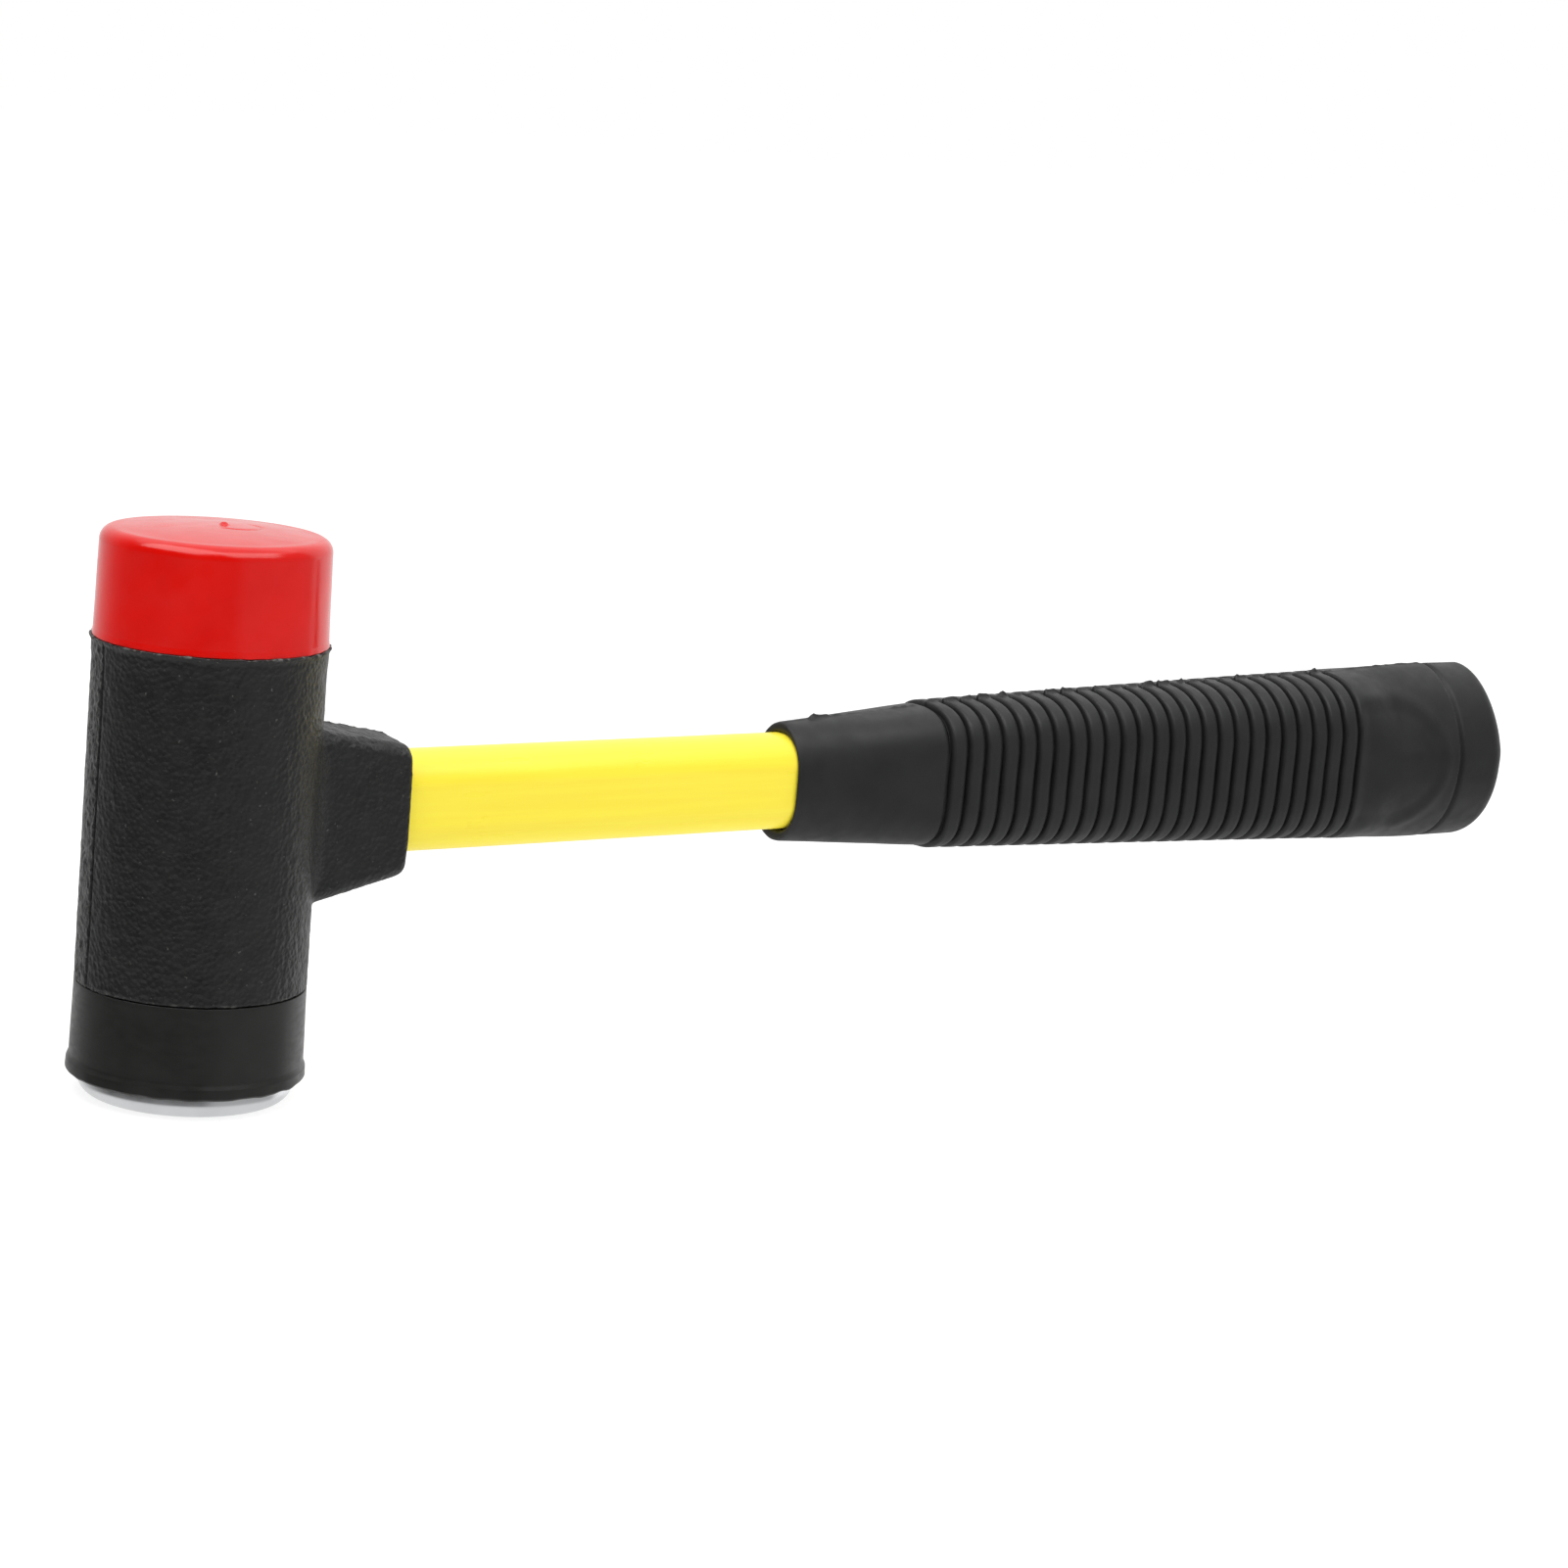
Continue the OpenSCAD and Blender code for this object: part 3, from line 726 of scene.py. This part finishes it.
class Nodes:
    """A short way to write a node material. Coordinates are the piece's own, in mm."""

    def __init__(self, name):
        self.mat = bpy.data.materials.new(name)
        self.mat.use_nodes = True
        self.tree = self.mat.node_tree
        self.shader = self.tree.nodes["Principled BSDF"]
        coord = self.tree.nodes.new("ShaderNodeTexCoord")
        self.coord = self.add("ShaderNodeVectorMath", operation="SCALE")
        self.link(coord.outputs["Object"], self.coord.inputs[0])
        self.coord.inputs["Scale"].default_value = 1000.0

    def add(self, kind, **props):
        node = self.tree.nodes.new(kind)
        for k, v in props.items():
            setattr(node, k, v)
        return node

    def link(self, a, b):
        self.tree.links.new(a, b)

    def stretched(self, scale):
        node = self.add("ShaderNodeVectorMath", operation="MULTIPLY")
        self.link(self.coord.outputs[0], node.inputs[0])
        node.inputs[1].default_value = scale
        return node.outputs[0]

    def noise(self, cell, detail, scale=None):
        node = self.add("ShaderNodeTexNoise")
        self.link(self.stretched(scale) if scale else self.coord.outputs[0], node.inputs["Vector"])
        node.inputs["Scale"].default_value = 1 / cell
        node.inputs["Detail"].default_value = detail
        node.inputs["Roughness"].default_value = 0.5
        return node.outputs["Fac"]

    def pebbles(self, cell):
        node = self.add("ShaderNodeTexVoronoi", feature="SMOOTH_F1")
        self.link(self.coord.outputs[0], node.inputs["Vector"])
        node.inputs["Scale"].default_value = 1 / cell
        node.inputs["Smoothness"].default_value = 0.4
        return node.outputs["Distance"]

    def remap(self, value, a, b, c, d):
        node = self.add("ShaderNodeMapRange")
        self.link(value, node.inputs["Value"])
        for name, v in zip(RANGE_SOCKETS, (a, b, c, d)):
            node.inputs[name].default_value = v
        return node.outputs["Result"]

    def ramp(self, value, stops):
        node = self.add("ShaderNodeValToRGB")
        self.link(value, node.inputs["Fac"])
        element = node.color_ramp.elements
        while len(element) < len(stops):
            element.new(0.5)
        for e, (at, colour) in zip(element, stops):
            e.position, e.color = at, (*colour, 1)
        return node.outputs["Color"]

    def bump(self, value, mm, normal=None):
        node = self.add("ShaderNodeBump")
        node.inputs["Strength"].default_value = 1.0
        node.inputs["Distance"].default_value = mm * MM
        self.link(value, node.inputs["Height"])
        if normal is not None:
            self.link(normal, node.inputs["Normal"])
        return node.outputs["Normal"]

    def math(self, op, a, b):
        node = self.add("ShaderNodeMath", operation=op)
        self.link(a, node.inputs[0])
        self.link(b, node.inputs[1])
        return node.outputs[0]

    def mix(self, factor, colour, other):
        node = self.add("ShaderNodeMix", data_type="RGBA")
        # sockets 6, 7 and 2 are the colour ones; their names are shared with other types
        self.link(factor, node.inputs["Factor"])
        self.link(colour, node.inputs[6])
        node.inputs[7].default_value = (*other, 1)
        return node.outputs[2]

    def finish(self, colour=None, roughness=None, normal=None, **values):
        for name, out in (("Base Color", colour), ("Roughness", roughness), ("Normal", normal)):
            if out is not None:
                self.link(out, self.shader.inputs[name])
        for name, v in values.items():
            self.shader.inputs[name.replace("_", " ")].default_value = v
        return self.mat


def red_pvc():
    m = Nodes("red_pvc")
    colour = m.ramp(m.noise(9, 3), [(0.3, (0.60, 0.0026, 0.0008)), (0.7, (0.66, 0.0042, 0.0014))])
    rough = m.remap(m.noise(5, 4), 0.3, 0.7, 0.12, 0.22)
    soft = m.bump(m.noise(6, 1), 0.05)
    normal = m.bump(m.noise(0.5, 2), 0.006, soft)
    return m.finish(colour, rough, normal, Specular_IOR_Level=0.5)


def jacket_rubber():
    """Grained rubber with dusty specks, torn edges and painted highlights on the rough strip past
    the parting line.
    """
    m = Nodes("jacket_rubber")
    dark, light = 3 * (0.0075,), 3 * (0.0125,)
    colour = m.ramp(m.noise(4, 4), [(0.25, dark), (0.75, light)])
    xyz = m.add("ShaderNodeSeparateXYZ")
    m.link(m.coord.outputs[0], xyz.inputs[0])
    specks = m.remap(m.noise(0.7, 2), 0.71, 0.77, 0, 0.4)
    torn = m.math("MULTIPLY", m.remap(m.noise(1.1, 3), 0.52, 0.62, 0, 0.8),
                  m.math("ADD", m.remap(xyz.outputs["Z"], JACKET_TOP - 0.35, JACKET_TOP, 0, 1),
                         m.remap(xyz.outputs["Z"], JACKET_Z + 0.6, JACKET_Z + 0.2, 0, 0.4)))
    strip = m.math("MULTIPLY", m.remap(xyz.outputs["X"], -17, -18, 0, 1),
                   m.remap(xyz.outputs["Y"], 0.3, 0.6, 0, 1))
    # painted highlight: lighter flecks on the rough strip, standing in for light caught by its
    # bumps
    strip_sheen = m.math("MULTIPLY", strip, m.remap(m.noise(0.6, 3), 0.48, 0.62, 0, 0.2))
    # dust, torn edges and the strip's painted highlights all lighten the colour towards the same
    # pale grey
    marks_and_sheen = m.math("MAXIMUM", m.math("MAXIMUM", specks, torn), strip_sheen)
    colour = m.mix(marks_and_sheen, colour, (0.16, 0.16, 0.15))
    roughness = m.remap(m.noise(2.2, 4), 0.3, 0.7, 0.36, 0.5)
    pits = m.bump(m.pebbles(0.9), 0.18)
    normal = m.bump(m.noise(0.32, 3), 0.05, pits)
    return m.finish(colour, roughness, normal, Specular_IOR_Level=0.4)


def grip_rubber():
    m = Nodes("grip_rubber")
    dark, light = (0.0100, 0.0100, 0.0104), (0.0145, 0.0145, 0.0150)
    colour = m.ramp(m.noise(7, 5), [(0.3, dark), (0.7, light)])
    roughness = m.remap(m.noise(3, 4), 0.3, 0.7, 0.42, 0.56)
    normal = m.bump(m.noise(0.28, 3), 0.012)
    normal = m.bump(m.noise(3.5, 2), 0.03, normal)
    return m.finish(colour, roughness, normal, Specular_IOR_Level=0.4)


def black_plastic():
    m = Nodes("black_plastic")
    dark, light = (0.0108, 0.0106, 0.0100), (0.0148, 0.0145, 0.0138)
    colour = m.ramp(m.noise(6, 4), [(0.3, dark), (0.7, light)])
    roughness = m.remap(m.noise(2.5, 4, scale=(1, 1, 3)), 0.3, 0.7, 0.3, 0.42)
    normal = m.bump(m.noise(4, 2), 0.03)
    return m.finish(colour, roughness, normal, Specular_IOR_Level=0.4)


def yellow_fibreglass():
    m = Nodes("yellow_fibreglass")
    streak = m.noise(1.6, 4, scale=(0.04, 1, 1))
    colour = m.ramp(streak, [(0.3, (0.97, 0.785, 0.042)), (0.7, (0.99, 0.835, 0.052))])
    rough = m.remap(m.noise(3, 4, scale=(0.2, 1, 1)), 0.3, 0.7, 0.26, 0.38)
    normal = m.bump(streak, 0.02)
    return m.finish(colour, rough, normal, Specular_IOR_Level=0.5)


def chromed_steel():
    m = Nodes("chromed_steel")
    colour = m.ramp(m.noise(8, 4), [(0.3, (0.80, 0.81, 0.83)), (0.7, (0.88, 0.89, 0.90))])
    rough = m.remap(m.noise(2.5, 3), 0.3, 0.7, 0.18, 0.26)
    normal = m.bump(m.noise(6, 2), 0.01)
    return m.finish(colour, rough, normal, Metallic=1.0)


def amber_epoxy():
    m = Nodes("amber_epoxy")
    colour = m.ramp(m.noise(2, 3), [(0.3, (0.50, 0.33, 0.12)), (0.7, (0.66, 0.46, 0.20))])
    rough = m.remap(m.noise(1.5, 3), 0.3, 0.7, 0.2, 0.4)
    return m.finish(colour, rough, m.bump(m.noise(1.0, 2), 0.03), Specular_IOR_Level=0.5)


def dress(ob, material):
    ob.data.materials.clear()
    ob.data.materials.append(material)


dress(cap, red_pvc())
dress(jacket, jacket_rubber())
dress(collar, black_plastic())
dress(steel, chromed_steel())
dress(shaft, yellow_fibreglass())
dress(grip, grip_rubber())
dress(epoxy, amber_epoxy())


# ---------------------------------------------------------------- floor, lights, camera
def build_floor():
    half = 4.0 / MM
    verts = [(-half, -half, 0), (half, -half, 0), (half, half, 0), (-half, half, 0)]
    ob = make_object("floor", verts, [(0, 1, 2, 3)])
    ob.location.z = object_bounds()[0][2]
    m = Nodes("floor_white")
    colour = m.ramp(m.noise(60, 2), [(0.3, 3 * (0.34,)), (0.7, 3 * (0.36,))])
    dress(ob, m.finish(colour, Roughness=0.9, Specular_IOR_Level=0.0,
                       Emission_Color=(1, 1, 1, 1), Emission_Strength=0.8))
    ob.visible_glossy = False


def area_light(name, at, to, size, power):
    light = bpy.data.lights.new(name, "AREA")
    light.shape, light.size, light.size_y = "RECTANGLE", size[0], size[1]
    light.energy = power
    ob = bpy.data.objects.new(name, light)
    bpy.context.scene.collection.objects.link(ob)
    ob.location = at
    ob.rotation_mode = "QUATERNION"
    ob.rotation_quaternion = (Vector(to) - Vector(at)).to_track_quat("-Z", "Y")


# the photograph's camera
AZ, EL, ROLL = math.radians(36.90), math.radians(10.88), math.radians(-5.04)
SENSOR, LENS, DISTANCE = 36, 90.86, 754.6
TARGET = (124.5, 0, HANDLE_Z - 0.8)


def set_camera():
    fwd = Vector((math.sin(AZ) * math.cos(EL), math.cos(AZ) * math.cos(EL), -math.sin(EL)))
    right = fwd.cross(Vector((0, 0, 1))).normalized()
    down = fwd.cross(right)
    c, s = math.cos(ROLL), math.sin(ROLL)
    across, drop = c * right + s * down, -s * right + c * down
    cam = bpy.data.cameras.new("camera")
    cam.sensor_width, cam.lens = SENSOR, LENS
    ob = bpy.data.objects.new("camera", cam)
    bpy.context.scene.collection.objects.link(ob)
    spot = Vector(TARGET) * MM - fwd * DISTANCE * MM
    m = Matrix.Identity(4)
    for i in range(3):
        m[i][0], m[i][1], m[i][2], m[i][3] = across[i], -drop[i], -fwd[i], spot[i]
    ob.matrix_world = m
    bpy.context.scene.camera = ob


def set_lights():
    """Two soft boxes overhead, in metres and watts, and a broad light from straight above."""
    middle = (0.12, 0, 0.05)
    area_light("left_box", (-0.40, -0.05, 0.80), middle, (0.9, 0.6), 4.6)
    area_light("right_box", (0.21, -0.55, 0.80), middle, (0.8, 0.6), 3.3)
    sun = bpy.data.lights.new("top_soft", "SUN")
    sun.energy, sun.angle = 1.1, math.radians(90)
    top = bpy.data.objects.new("top_soft", sun)
    bpy.context.scene.collection.objects.link(top)


# how bright the surroundings are, where white is 1
BASE_LEVEL, SIDE_RANGE, RIGHT_LEVEL, LEFT_LEVEL = 0.045, 0.95, 0.3, 0.85
OVERHEAD_LEVEL, UNDER_LEVEL = 0.45, 0.7


def build_world():
    """Bright behind and to the left, dim on the right, dark round the camera, soft overhead."""
    world = bpy.data.worlds.new("world")
    bpy.context.scene.world = world
    world.use_nodes = True
    tree = world.node_tree
    back = tree.nodes["Background"]
    back.inputs["Color"].default_value = (1, 1, 1, 1)

    def add(kind, **props):
        node = tree.nodes.new(kind)
        for k, v in props.items():
            setattr(node, k, v)
        return node

    def math_node(op, *values):
        node = add("ShaderNodeMath", operation=op)
        for socket, v in zip(node.inputs, values):
            if isinstance(v, (int, float)):
                socket.default_value = v
            else:
                tree.links.new(v, socket)
        return node.outputs[0]

    def dot(vector):
        node = add("ShaderNodeVectorMath", operation="DOT_PRODUCT")
        tree.links.new(coord.outputs["Generated"], node.inputs[0])
        node.inputs[1].default_value = vector
        return node.outputs["Value"]

    def remap(value, a, b, c, d):
        node = add("ShaderNodeMapRange", interpolation_type="SMOOTHSTEP")
        tree.links.new(value, node.inputs["Value"])
        for name, v in zip(RANGE_SOCKETS, (a, b, c, d)):
            node.inputs[name].default_value = v
        return node.outputs["Result"]

    coord = add("ShaderNodeTexCoord")
    towards = (-math.sin(AZ), -math.cos(AZ), 0)
    across = (math.cos(AZ), -math.sin(AZ), 0)
    bearing = math_node("ARCTAN2", dot(across), dot(towards))
    right = math_node("MULTIPLY", remap(bearing, 0.45, 0.75, 0, 1), RIGHT_LEVEL)
    left = remap(bearing, -2.8, -1.3, LEFT_LEVEL, 0)
    behind = remap(bearing, 1.95, 2.25, 0, 1)
    side = math_node("MAXIMUM", math_node("MAXIMUM", right, left), behind)
    level = math_node("MULTIPLY_ADD", side, SIDE_RANGE, BASE_LEVEL)
    up = dot((0, 0, 1))
    high = remap(up, 0.6, 0.95, 0, 1)
    mixed = add("ShaderNodeMix", data_type="FLOAT")
    tree.links.new(high, mixed.inputs["Factor"])
    low = add("ShaderNodeMix", data_type="FLOAT")
    tree.links.new(remap(up, -0.5, -0.25, 1, 0), low.inputs["Factor"])
    tree.links.new(level, low.inputs["A"])
    low.inputs["B"].default_value = UNDER_LEVEL
    tree.links.new(low.outputs["Result"], mixed.inputs["A"])
    mixed.inputs["B"].default_value = OVERHEAD_LEVEL
    rays = add("ShaderNodeLightPath")
    shown = math_node("MAXIMUM", mixed.outputs["Result"], rays.outputs["Is Camera Ray"])
    tree.links.new(shown, back.inputs["Strength"])


build_floor()
set_camera()
set_lights()
build_world()
bpy.context.scene.view_settings.view_transform = "Standard"
